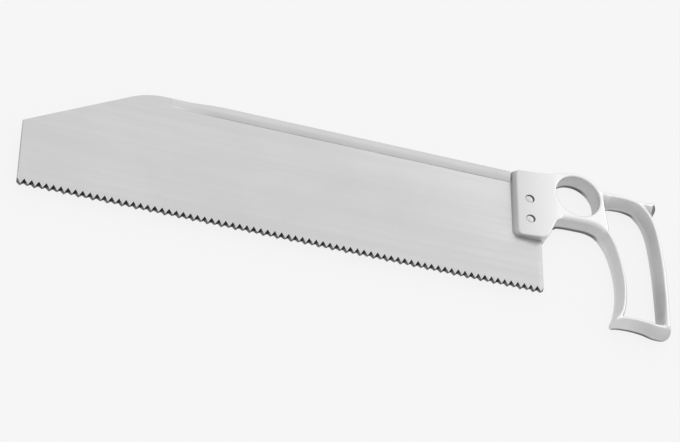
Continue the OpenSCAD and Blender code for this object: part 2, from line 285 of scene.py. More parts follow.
def mirrored(upper):
    """A profile of (radius, height) points, with its mirror image below the middle plane."""
    return [(radius, -height) for radius, height in reversed(upper)] + upper


def turned(name, profile, centre, segments):
    """A mesh turned from a profile about the Z axis; both ends of the profile lie on the axis."""
    bm = bmesh.new()
    rows = []
    for radius, height in profile:
        turns = segments if radius > 0 else 1
        rows.append([
            bm.verts.new(centre + Vector((
                radius * math.cos(math.tau * k / segments),
                radius * math.sin(math.tau * k / segments),
                height,
            )))
            for k in range(turns)
        ])
    for low, high in zip(rows, rows[1:]):
        for i in range(segments):
            k = (i + 1) % segments
            corners = [low[i % len(low)], low[k % len(low)], high[k % len(high)], high[i % len(high)]]
            bm.faces.new(list(dict.fromkeys(corners)))
    return mesh_of(name, bm)


def applied(piece):
    """Replaces a piece's mesh by the result of its modifiers."""
    depsgraph = bpy.context.evaluated_depsgraph_get()
    result = bpy.data.meshes.new_from_object(piece.evaluated_get(depsgraph))
    piece.modifiers.clear()
    piece.data = result


def cut(piece, cutters):
    """Cuts closed meshes out of a piece."""
    holders = []
    for mesh in cutters:
        holder = in_scene(mesh.name, mesh)
        modifier = piece.modifiers.new(mesh.name, "BOOLEAN")
        modifier.object = holder
        modifier.operation = "DIFFERENCE"
        modifier.solver = "MANIFOLD"
        holders.append(holder)
    applied(piece)
    for holder in holders:
        bpy.data.meshes.remove(holder.data)


def mix(start, end, share):
    """A value part of the way from one to another."""
    return start + (end - start) * share


def soft_corner(before, corner, after, reach, steps=8):
    """A corner of an outline, rounded by a curve that starts a set length from it."""
    start = corner + reach * (before - corner).normalized()
    end = corner + reach * (after - corner).normalized()
    return [
        start * (1 - t) ** 2 + corner * (2 * t * (1 - t)) + end * t * t
        for t in (i / steps for i in range(steps + 1))
    ]


def wavy(place):
    """Smooth noise over a place, from 0 to 1."""
    return 0.5 + 0.5 * noise.noise(place)


def left_of(direction):
    """A flat direction turned a quarter turn to the left."""
    return Vector((-direction.y, direction.x))


# Node groups and materials

# Where the handle's painted shade changes: from the heel
STRAP_LEVELS = (30 * MM, 38 * MM)
REAR_SHADE_LEVELS = (2 * MM, 22 * MM)
FOOT_LEVELS = (-5 * MM, 0)
REAR_BAR_PLACES = (RING_CENTRE.x + 2 * RING_INNER, RING_CENTRE.x + 3 * RING_INNER)
# From the middle of the ring
BORE_RADII = (RING_INNER + 0.6 * MM, RING_INNER + 1.4 * MM)
# From the blade's middle plane
FRONT_WALL_SHADE_HEIGHTS = (1.1 * MM, 1.9 * MM)
# From the end of the spur
SPUR_END_LENGTHS = (-1.4 * MM, -0.8 * MM)
SPUR_END_HEIGHTS = (-4 * MM, -3 * MM)
# In the slope of the surface, as the upright share of its normal
WALL_SLOPES = (0.45, 0.95)
SPUR_END_SLOPES = (0.8, 0.97)
# The side of the saw whose lower edges are painted dark as shade
PAINTED_SHADE_SIDE = (0.4, -0.92, 0.0)


def feed(tree, node, values):
    """Links or sets a node's inputs, each from a socket or a plain value."""
    for name, value in values.items():
        if isinstance(value, bpy.types.NodeSocket):
            tree.links.new(value, node.inputs[name])
        else:
            node.inputs[name].default_value = value


def put(tree, kind, values=None, **options):
    """Adds a shader node with its options and inputs."""
    node = tree.nodes.new("ShaderNode" + kind)
    for name, value in options.items():
        setattr(node, name, value)
    feed(tree, node, values or {})
    return node


def new_group(name, inputs):
    """An empty node group and its inputs, which are numbers with default values."""
    tree = bpy.data.node_groups.new(name, "ShaderNodeTree")
    for socket, value in inputs.items():
        made = tree.interface.new_socket(name=socket, in_out="INPUT", socket_type="NodeSocketFloat")
        made.default_value = value
    return tree, tree.nodes.new("NodeGroupInput").outputs


def close_group(tree, results):
    """Gives a node group its outputs, each from a socket."""
    for socket in results:
        tree.interface.new_socket(name=socket, in_out="OUTPUT", socket_type="NodeSocketFloat")
    feed(tree, tree.nodes.new("NodeGroupOutput"), results)
    return tree


def maths(tree, operation, first, second, **options):
    """Joins two sockets or numbers by a calculation."""
    return put(tree, "Math", {0: first, 1: second}, operation=operation, **options).outputs[0]


def held(tree, value):
    """A socket held between 0 and 1."""
    return maths(tree, "ADD", value, 0.0, use_clamp=True)


def times(tree, first, *others):
    """The product of sockets and numbers."""
    for other in others:
        first = maths(tree, "MULTIPLY", first, other)
    return first


def summed(tree, first, *others):
    """The sum of sockets and numbers, held between 0 and 1."""
    for other in others:
        first = maths(tree, "ADD", first, other)
    return held(tree, first)


def ranged(tree, value, low, high, to_low, to_high, blend="LINEAR"):
    """Maps a socket from one range to another, held at its ends."""
    values = {0: value, 1: low, 2: high, 3: to_low, 4: to_high}
    return put(tree, "MapRange", values, clamp=True, interpolation_type=blend).outputs["Result"]


def object_place(tree):
    """A point's place in its object."""
    return put(tree, "TexCoord").outputs["Object"]


def stretched(tree, place, along, across):
    """A place drawn out along the saw; both scales are sockets or numbers per metre."""
    scale = put(tree, "CombineXYZ", {"X": along, "Y": across, "Z": across}).outputs[0]
    return put(tree, "VectorMath", {0: place, 1: scale}, operation="MULTIPLY").outputs[0]


def clouds(tree, place, scale, detail, roughness=0.5, distortion=0.0):
    """Plain noise over a place."""
    values = {"Vector": place, "Scale": scale, "Detail": detail}
    values.update({"Roughness": roughness, "Distortion": distortion})
    return put(tree, "TexNoise", values).outputs[0]


def surface(tree):
    """The X, Y and Z of a point's place from the heel, and those of its normal."""
    point = put(tree, "TexCoord").outputs
    from_heel = put(tree, "VectorMath", {0: point["Object"], 1: HEEL}, operation="SUBTRACT").outputs[0]
    place = put(tree, "SeparateXYZ", {0: from_heel}).outputs
    normal = put(tree, "SeparateXYZ", {0: point["Normal"]}).outputs
    return place, normal


def drawn_grain_group(name):
    """Fine lines left by grinding or drawing along the saw."""
    tree, given = new_group(name, {"Along": 40.0, "Across": 2600.0})
    fine = stretched(tree, object_place(tree), given["Along"], given["Across"])
    lines = clouds(tree, fine, 1.0, 3.0, 0.65)
    return close_group(tree, {"Lines": lines, "Streaks": clouds(tree, fine, 0.12, 2.0)})


def tone_group(name):
    """Broad uneven tone, from handling and cleaning."""
    tree, given = new_group(name, {"Scale": 60.0, "Contrast": 1.0})
    cloud = clouds(tree, object_place(tree), given["Scale"], 5.0, 0.6, 0.4)
    spread = times(tree, maths(tree, "SUBTRACT", cloud, 0.5), given["Contrast"])
    return close_group(tree, {"Tone": summed(tree, spread, 0.5)})


def scratch_group(name):
    """Sparse hairline scratches in a few directions."""
    tree, given = new_group(name, {"Amount": 0.5, "Width": 1100.0})
    place = object_place(tree)
    total = 0.0
    for degrees, along in ((6, 9.0), (-28, 14.0), (64, 22.0)):
        values = {"Vector": place, "Angle": math.radians(degrees)}
        rotated = put(tree, "VectorRotate", values, rotation_type="Z_AXIS").outputs[0]
        lines = clouds(tree, stretched(tree, rotated, along, given["Width"]), 1.0, 0.0)
        total = maths(tree, "MAXIMUM", total, ranged(tree, lines, 0.72, 0.80, 0.0, 1.0))
    return close_group(tree, {"Scratches": held(tree, times(tree, total, given["Amount"]))})


def edge_rub_group(name):
    """Bright rubbed edges: where the rounded normal leaves the true one."""
    tree, given = new_group(name, {"Radius": 0.5 * MM, "Strength": 4.0})
    rounded = put(tree, "Bevel", {"Radius": given["Radius"]}, samples=6).outputs[0]
    true = put(tree, "NewGeometry").outputs["Normal"]
    alike = put(tree, "VectorMath", {0: rounded, 1: true}, operation="DOT_PRODUCT").outputs["Value"]
    strong = held(tree, times(tree, maths(tree, "SUBTRACT", 1.0, alike), given["Strength"]))
    broken = ranged(tree, clouds(tree, object_place(tree), 300.0, 4.0), 0.3, 0.65, 0.25, 1.0)
    return close_group(tree, {"Rub": times(tree, strong, broken)})


def tarnish_and_shade_group(name):
    """Tarnish in corners and recesses that a cloth doesn't reach, partly painted shade where they are closed
    in.
    """
    tree, given = new_group(name, {"Reach": 2 * MM, "Strength": 1.0})
    # Closed-in places are darkened: partly tarnish, partly painted shade
    open_share = put(tree, "AmbientOcclusion", {"Distance": given["Reach"]}, samples=6).outputs["AO"]
    closed = ranged(tree, open_share, 0.35, 0.85, 1.0, 0.0)
    broken = ranged(tree, clouds(tree, object_place(tree), 450.0, 5.0), 0.3, 0.7, 0.5, 1.0)
    return close_group(tree, {"Tarnish and shade": held(tree, times(tree, closed, broken, given["Strength"]))})


def wall_group(name):
    """Side walls, rougher than the faces, with painted shade on them and on the front of the bolster.

    The painted shade is lighter on the strap and darker down the rear bar.
    """
    tree, given = new_group(name, {"Tone": 0.53, "Strap shade lift": 0.45, "Rear shade share": 0.47})
    place, normal = surface(tree)
    upright = maths(tree, "ABSOLUTE", normal["Z"], 0.0)
    wall = ranged(tree, upright, *WALL_SLOPES, 1.0, 0.0, "SMOOTHSTEP")
    # Painted shade on the walls: lighter on the strap under the knuckle, darker down the rear bar above the
    # foot
    on_rear = ranged(tree, place["X"], *REAR_BAR_PLACES, 0.0, 1.0)
    under_knuckle = ranged(tree, place["Y"], *STRAP_LEVELS, 1.0, 0.0)
    painted_lighter = times(tree, maths(tree, "SUBTRACT", 1.0, on_rear), under_knuckle, given["Strap shade lift"])
    painted_darker = ranged(tree, place["Y"], *REAR_SHADE_LEVELS, 1.0, 0.0)
    above_foot = ranged(tree, place["Y"], *FOOT_LEVELS, 0.0, 1.0)
    darker = times(tree, on_rear, painted_darker, above_foot, given["Rear shade share"])
    tone = maths(tree, "SUBTRACT", maths(tree, "ADD", darker, given["Tone"]), painted_lighter)
    # The front of the bolster is painted darker as shade
    front = ranged(tree, place["X"], -BOLSTER_REACH, BOLSTER_REACH / 2, 1.0, 0.0)
    return close_group(tree, {"Wall": wall, "Painted wall shade": times(tree, tone, wall), "Painted bolster front shade": front})


def painted_shade_group(name):
    """Painted shade along the lower edges, on the bolster's front wall by the blade, and on the spur's end.

    The levels count from the blade's middle plane, and the spur ends at its reach and rise.
    """
    sizes = {"Unshaded level": -0.65 * MM, "Shaded level": -1.85 * MM, "Bore drop": 1.2 * MM}
    tree, given = new_group(name, {**sizes, "Reach": 0.0, "Rise": 0.0})
    place, normal = surface(tree)
    flat = put(tree, "CombineXYZ", {"X": place["X"], "Y": place["Y"]}).outputs[0]
    centre = (RING_CENTRE.x, RING_CENTRE.y, 0.0)
    radius = put(tree, "VectorMath", {0: flat, 1: centre}, operation="DISTANCE").outputs["Value"]
    lift = times(tree, ranged(tree, radius, *BORE_RADII, 1.0, 0.0), given["Bore drop"])
    height = maths(tree, "ADD", place["Z"], lift)
    low = ranged(tree, height, given["Shaded level"], given["Unshaded level"], 1.0, 0.0, "SMOOTHSTEP")
    # Lower edges that face this side are painted dark as shade
    values = {0: put(tree, "TexCoord").outputs["Normal"], 1: PAINTED_SHADE_SIDE}
    toward = put(tree, "VectorMath", values, operation="DOT_PRODUCT").outputs["Value"]
    lower_edge_shade = times(tree, low, ranged(tree, toward, 0.2, 0.6, 0.0, 1.0))
    # The bolster's front wall by the blade is painted dark as shade
    front_wall_shade = times(
        tree,
        ranged(tree, maths(tree, "ABSOLUTE", place["Z"], 0.0), *FRONT_WALL_SHADE_HEIGHTS, 1.0, 0.35),
        ranged(tree, normal["X"], -0.6, -0.25, 1.0, 0.0),
        ranged(tree, place["X"], -BOLSTER_REACH / 2, 0.0, 1.0, 0.0),
        ranged(tree, place["Y"], BLADE_HEIGHT / 2, BLADE_HEIGHT, 0.6, 1.0),
    )
    # The spur's end is painted dark as shade
    spur_end_shade = times(
        tree,
        ranged(tree, maths(tree, "SUBTRACT", place["X"], given["Reach"]), *SPUR_END_LENGTHS, 0.0, 1.0),
        ranged(tree, maths(tree, "SUBTRACT", place["Y"], given["Rise"]), *SPUR_END_HEIGHTS, 0.0, 1.0),
        ranged(tree, maths(tree, "ABSOLUTE", normal["Z"], 0.0), *SPUR_END_SLOPES, 1.0, 0.0),
    )
    return close_group(tree, {"Lower edge": lower_edge_shade, "Front wall shade": front_wall_shade, "Spur end shade": spur_end_shade})


GROUP_BUILDERS = {
    "Drawn grain": drawn_grain_group,
    "Uneven tone": tone_group,
    "Hairline scratches": scratch_group,
    "Edge rub": edge_rub_group,
    "Corner patina and shade": tarnish_and_shade_group,
    "Wall slope and painted shade": wall_group,
    "Painted edge shade": painted_shade_group,
}


def group(tree, name, **values):
    """The outputs of a shared node group, placed in a material with its own values."""
    node = tree.nodes.new("ShaderNodeGroup")
    node.node_tree = bpy.data.node_groups.get(name) or GROUP_BUILDERS[name](name)
    feed(tree, node, values)
    return node.outputs


def shade(base, factor):
    """A colour made lighter or darker, with its cover."""
    return (*(min(1.0, part * factor) for part in base), 1.0)


def layered(tree, base, first, layers):
    """A colour in layers over a first shade: each a share of the surface and its own shade of the base."""
    paint = shade(base, first)
    for share, factor in layers:
        values = {"Factor": share, 6: paint, 7: shade(base, factor)}
        paint = put(tree, "Mix", values, data_type="RGBA", clamp_factor=True).outputs[2]
    return paint


def relief(tree, *layers):
    """A normal with fine relief in layers, each a height socket and its depth in metres."""
    values = {"Strength": 1.0}
    for height, depth in layers:
        values.update({"Height": height, "Distance": depth})
        values["Normal"] = put(tree, "Bump", values).outputs[0]
    return values["Normal"]


def new_metal(name):
    """A metal material with its shader, and the tree that feeds it."""
    material = bpy.data.materials.new(name)
    material.use_nodes = True
    shader = material.node_tree.nodes["Principled BSDF"]
    shader.inputs["Metallic"].default_value = 1.0
    return material, material.node_tree, shader


def satin_steel(name, base, along, across, roughness, scratches):
    """Ground or drawn steel with lengthwise lines, clouds, hairlines and rubbed edges."""
    material, tree, shader = new_metal(name)
    grain = group(tree, "Drawn grain", Along=along, Across=across)
    tone = group(tree, "Uneven tone", Scale=24.0, Contrast=1.8)[0]
    hairlines = group(tree, "Hairline scratches", Amount=scratches)[0]
    rub = group(tree, "Edge rub", Radius=0.4 * MM, Strength=5.0)[0]
    # The tarnish layer darkens corners and recesses: partly tarnish, partly painted shade
    tarnish_and_shade = group(tree, "Corner patina and shade", Reach=1.2 * MM, Strength=0.7)[0]
    layers = (
        (tone, 1.09),
        (ranged(tree, grain["Streaks"], 0.35, 0.65, 0.0, 0.35), 0.9),
        (times(tree, rub, 0.7), 1.25),
        (times(tree, tarnish_and_shade, 0.6), 0.45),
    )
    uneven = ranged(tree, tone, 0.2, 0.8, -0.05, 0.05)
    lined = ranged(tree, grain["Lines"], 0.3, 0.7, -0.05, 0.05)
    polish, dulling = times(tree, rub, -0.1), times(tree, tarnish_and_shade, 0.2)
    feed(tree, shader, {
        "Base Color": layered(tree, base, 0.91, layers),
        "Roughness": summed(tree, uneven, roughness, lined, polish, dulling),
        "Normal": relief(tree, (grain["Lines"], 0.004 * MM), (times(tree, hairlines, -1.0), 0.012 * MM)),
    })
    return material


def shaded_gullet_steel(name, base):
    """Tooth flanks as the file left them, dark as painted shade, bright at their rims."""
    material, tree, shader = new_metal(name)
    marks = clouds(tree, object_place(tree), 3500.0, 2.0)
    rub = group(tree, "Edge rub", Radius=0.2 * MM, Strength=4.0)[0]
    tone = group(tree, "Uneven tone", Scale=400.0, Contrast=1.4)[0]
    feed(tree, shader, {
        # The flanks' dark colour is painted shade
        "Base Color": layered(tree, base, 0.85, ((tone, 1.1), (rub, 1.3))),
        "Roughness": ranged(tree, marks, 0.3, 0.7, 0.24, 0.38),
        "Normal": relief(tree, (marks, 0.008 * MM)),
    })
    return material


def cast_alloy(name, base, reach, rise):
    """Cast alloy, tumbled and wheeled to a satin, bright where hands rub it.

    The end of the spur, at its reach and rise from the heel, is painted dark as shade, as are the walls, the
    lower edges and the bolster's front.
    """
    material, tree, shader = new_metal(name)
    place = object_place(tree)
    skin = clouds(tree, place, 1800.0, 4.0, 0.6)
    swirl = clouds(tree, place, 140.0, 3.0)
    tone = group(tree, "Uneven tone", Scale=45.0, Contrast=1.3)[0]
    hairlines = group(tree, "Hairline scratches", Amount=0.35)[0]
    rub = group(tree, "Edge rub", Radius=0.8 * MM, Strength=3.0)[0]
    tarnish_and_shade = group(tree, "Corner patina and shade", Reach=3 * MM, Strength=0.8)[0]
    walls = group(tree, "Wall slope and painted shade")
    painted_shade = group(tree, "Painted edge shade", Reach=reach, Rise=rise)
    broken = ranged(tree, swirl, 0.3, 0.7, 0.8, 1.0)
    # Painted shade: the bolster's front, the walls, the front wall by the blade, the spur's end and the
    # lower edges
    layers = (
        (tone, 1.05),
        (times(tree, rub, 0.6), 1.1),
        (walls["Painted bolster front shade"], 0.765),
        (times(tree, walls["Painted wall shade"], broken), 0.62),
        (painted_shade["Front wall shade"], 0.42),
        (painted_shade["Spur end shade"], 0.3),
        (times(tree, painted_shade["Lower edge"], broken), 0.16),
        (times(tree, tarnish_and_shade, 0.6), 0.5),
    )
    uneven = ranged(tree, tone, 0.2, 0.8, 0.24, 0.34)
    polish, dulling = times(tree, rub, -0.1), times(tree, tarnish_and_shade, 0.1)
    scratched = (times(tree, hairlines, -1.0), 0.010 * MM)
    feed(tree, shader, {
        "Base Color": layered(tree, base, 0.94, layers),
        "Roughness": summed(tree, uneven, polish, times(tree, walls["Wall"], 0.32), dulling),
        "Normal": relief(tree, (skin, 0.010 * MM), (swirl, 0.060 * MM), scratched),
    })
    return material


def peened_steel(name, base):
    """Rivet ends, bright from the hammer, darker at their rims with tarnish and painted shade."""
    material, tree, shader = new_metal(name)
    dents = clouds(tree, object_place(tree), 900.0, 2.0)
    tone = group(tree, "Uneven tone", Scale=300.0, Contrast=1.4)[0]
    # The tarnish layer darkens the rims: partly tarnish, partly painted shade
    tarnish_and_shade = group(tree, "Corner patina and shade", Reach=1.5 * MM, Strength=0.8)[0]
    feed(tree, shader, {
        "Base Color": layered(tree, base, 0.88, ((tone, 1.1), (tarnish_and_shade, 0.4))),
        "Roughness": ranged(tree, tone, 0.2, 0.8, 0.22, 0.34),
        "Normal": relief(tree, (dents, 0.030 * MM)),
    })
    return material


def floor_paint(name, base, glow):
    """Matt pale floor that glows a little, with the faintest unevenness."""
    material = bpy.data.materials.new(name)
    material.use_nodes = True
    tree = material.node_tree
    uneven = clouds(tree, object_place(tree), 8.0, 3.0)
    feed(tree, tree.nodes["Principled BSDF"], {
        "Base Color": layered(tree, base, 0.99, ((uneven, 1.01),)),
        "Roughness": 0.9,
        "Specular IOR Level": 0.1,
        "Emission Color": (1.0, 1.0, 1.0, 1.0),
        "Emission Strength": glow,
    })
    return material


# Blade


def gullet_place(index, count, face, settings):
    """Where a gullet's root meets one face of the blade: the file slants to and fro."""
    pitch = BLADE_LENGTH / count
    if index in (0, count):
        return -index * pitch
    slant = BLADE_HALF * math.tan(settings.filing_angle)
    return -index * pitch + face * slant * (-1) ** index


def tooth_point(index, count, face, settings):
    """Point of a tooth on one face, bent aside by its set; the inner face is filed back."""
    near = gullet_place(index, count, face, settings)
    far = gullet_place(index + 1, count, face, settings)
    widest = BLADE_LENGTH / count + 2 * BLADE_HALF * math.tan(settings.filing_angle)
    rise = settings.tooth_depth * min(1.0, (near - far) / widest)
    bend = settings.tooth_set * (rise / settings.tooth_depth) * (-1) ** index
    return Vector(((near + far) / 2, settings.tooth_depth - rise, face * BLADE_HALF + bend))


def blade_back(settings):
    """The plain part of the blade's outline: up the toe, over the nose and along the back."""
    toe_low = Vector((-BLADE_LENGTH, settings.tooth_depth))
    toe_top = Vector((-BLADE_LENGTH, settings.toe_height))
    nose_top = Vector((-BLADE_LENGTH + settings.nose_length, BLADE_HEIGHT))
    heel_top = Vector((0, BLADE_HEIGHT))
    return [toe_low, toe_top, *soft_corner(toe_top, nose_top, heel_top, settings.nose_blend), heel_top]


def blade_mesh(settings):
    """A flat plate with set teeth, gullets that slope down across it, and eased plain edges."""
    bm = bmesh.new()
    count = round(BLADE_LENGTH / settings.tooth_pitch)
    back = blade_back(settings)
    roots, points, edges = {}, {}, {}
    for face in (1, -1):
        level = face * BLADE_HALF
        depth = settings.tooth_depth if face > 0 else settings.lower_depth
        roots[face] = [
            bm.verts.new(HEEL + Vector((gullet_place(i, count, face, settings), depth, level)))
            for i in range(count + 1)
        ]
        points[face] = [bm.verts.new(HEEL + tooth_point(i, count, face, settings)) for i in range(count)]
        plain = [bm.verts.new(HEEL + Vector((p.x, p.y, level))) for p in back[1:]]
        edges[face] = [roots[face][-1], *plain, roots[face][0]]
        bm.faces.new(roots[face] + plain)
        for i in range(count):
            bm.faces.new((roots[face][i], points[face][i], roots[face][i + 1]))
    flanks = []
    for i in range(count):
        for root in (i, i + 1):
            flanks.append(bm.faces.new((roots[1][root], points[1][i], points[-1][i], roots[-1][root])))
    for i in range(len(edges[1]) - 1):
        bm.faces.new((edges[1][i], edges[1][i + 1], edges[-1][i + 1], edges[-1][i]))
    for flank in flanks:
        flank.material_index = 1
    eased = [
        bm.edges.get((edges[face][i], edges[face][i + 1]))
        for face in (1, -1)
        for i in range(len(edges[face]) - 1)
    ]
    bmesh.ops.bevel(bm, geom=eased, offset=settings.edge_easing, segments=2, profile=0.5, affect="EDGES")
    return mesh_of("blade", bm)


class SAW_OT_build_blade(bpy.types.Operator):
    """Builds the toothed blade"""

    bl_idname = "saw.build_blade"
    bl_label = "Blade"

    def execute(self, context):
        """Builds the plate, drills it for the rivets and gives it its steel."""
        settings = context.scene.saw_blade
        rivets = context.scene.saw_rivets
        mesh = blade_mesh(settings)
        mesh.materials.append(
            satin_steel(
                "satin_blade_steel", settings.steel, along=45.0, across=2600.0, roughness=0.36, scratches=0.5
            )
        )
        mesh.materials.append(shaded_gullet_steel("gullet_steel_painted_shade", settings.shaded_gullet_steel))
        piece = new_piece("toothed_blade", mesh)
        radius = rivets.shank / 2 + rivets.clearance
        past = 2 * BLADE_HALF
        drill = [(0, -past), (radius, -past), (radius, past), (0, past)]
        cut(piece, [turned("blade_drill", drill, centre, segments=48) for centre in rivet_centres()])
        soften(piece.data, degrees=25)
        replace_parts(piece, "blade")
        return {"FINISHED"}


# Spine


def spine_section(sheet, rim, lip, settings, steps=8):
    """Section of the folded strip across the blade, as (height, side) points.

    The rim is the filed height, and the lip the share of the sheet left at its lower edge.
    A second point close above the rim keeps the face over it flat when it is shaded smooth.
    """
    inner = BLADE_HALF + settings.clearance
    fold = BLADE_HEIGHT + settings.clearance
    low = SPINE_LOW.y - HEEL.y
    outer = inner + sheet
    top = fold + sheet
    turn = min(settings.fold_rounding, outer * 0.9)
    half = [(low, inner), (low, inner + lip * sheet), (low + rim, outer), (low + 1.3 * rim, outer)]
    for k in range(steps + 1):
        swing = math.pi / 2 * k / steps
        half.append((top - turn + turn * math.sin(swing), outer - turn + turn * math.cos(swing)))
    other_half = [(height, -side) for height, side in reversed(half)]
    return half + other_half + [(fold, -inner), (fold, inner)]


def spine_mesh(settings):
    """The strip from its thinned front end to the bolster, with the faint waves of hand folding."""
    front = SPINE_LOW.x - HEEL.x
    rear = SPINE_HIGH.x - HEEL.x
    sheet = SPINE_HIGH.y - HEEL.y - BLADE_HEIGHT - settings.clearance
    stations = 60
    rings = []
    for i in range(stations + 1):
        x = mix(front, rear, i / stations)
        thinned = min(1.0, (x - front) / settings.taper)
        here = mix(settings.tip_sheet, sheet, thinned * thinned * (3 - 2 * thinned))
        wave = wavy(Vector((x / FOLD_LENGTH, 0, 0)))
        rim = settings.rim_height * mix(*RIM_SHARES, wave)
        filed = wavy(Vector((x / FILE_LENGTH, 5, 0)))
        lip = mix(*LIP_SHARES, filed)
        section = spine_section(here * (1 - FOLD_LOSS * wave), rim, lip, settings)
        rings.append([HEEL + Vector((x, y, z)) for y, z in section])
    bm = bmesh.new()
    loft(bm, rings)
    return mesh_of("spine", bm)


class SAW_OT_build_spine(bpy.types.Operator):
    """Builds the folded strip on the blade's back"""

    bl_idname = "saw.build_spine"
    bl_label = "Spine"

    def execute(self, context):
        """Builds the strip and gives it its drawn steel."""
        settings = context.scene.saw_spine
        mesh = spine_mesh(settings)
        mesh.materials.append(
            satin_steel(
                "drawn_spine_steel", settings.steel, along=30.0, across=3200.0, roughness=0.34, scratches=0.3
            )
        )
        soften(mesh, degrees=40)
        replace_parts(new_piece("folded_spine", mesh), "spine")
        return {"FINISHED"}


# Handle

# The free arc of the ring, from beside the top bar round to the bolster
ARC_DEGREES = (4, 102)
ARC_STEPS = 36


def through(before, start, end, after, t):
    """A smooth curve through four points, between the middle two."""
    bend = 2 * before - 5 * start + 4 * end - after
    twist = 3 * start - before - 3 * end + after
    return 0.5 * (2 * start + (end - before) * t + bend * t * t + twist * t ** 3)


def smooth_path(keys, steps):
    """Points of the curve through a bar's keys."""
    keys = [Vector(key) for key in keys]
    last = len(keys) - 1
    path = []
    for i in range(last):
        around = (keys[max(i - 1, 0)], keys[i], keys[i + 1], keys[min(i + 2, last)])
        path += [through(*around, j / steps) for j in range(steps)]
    return path + [keys[last]]


def add_bar(bm, keys, settings, steps=10, sides=40, end_share=1 / 7):
    """A bar along a flat curve; keys are (x, y, half width, half depth).

    Its section is rounded, with a flat upper flank on one side. The flank rounds off towards
    both ends, over a share of the bar's length.
    """
    fullness = settings.fullness
    path = smooth_path(keys, steps)
    last = len(path) - 1
    rings = []
    for i, (x, y, half, deep) in enumerate(path):
        ahead = path[min(i + 1, last)] - path[max(i - 1, 0)]
        across = left_of(ahead.to_2d().normalized())
        inside = min(1.0, min(i, last - i) / (end_share * last))
        flank_power = mix(settings.back_power, settings.flank_power, inside)
        ring = []
        for k in range(sides):
            turn = math.tau * (k + 0.5) / sides
            on_flank = math.cos(turn) < 0 < math.sin(turn)
            power = flank_power if on_flank else settings.back_power
            swing = math.copysign(abs(math.cos(turn)) ** power, math.cos(turn))
            side = (swing + settings.crest * math.sin(turn) ** 2) * half * fullness
            rise = math.copysign(abs(math.sin(turn)) ** power, math.sin(turn))
            lift = rise * min(deep * fullness, HEAD_HALF)
            ring.append(HEEL + Vector((x + across.x * side, y + across.y * side, lift)))
        rings.append(ring)
    loft(bm, rings)


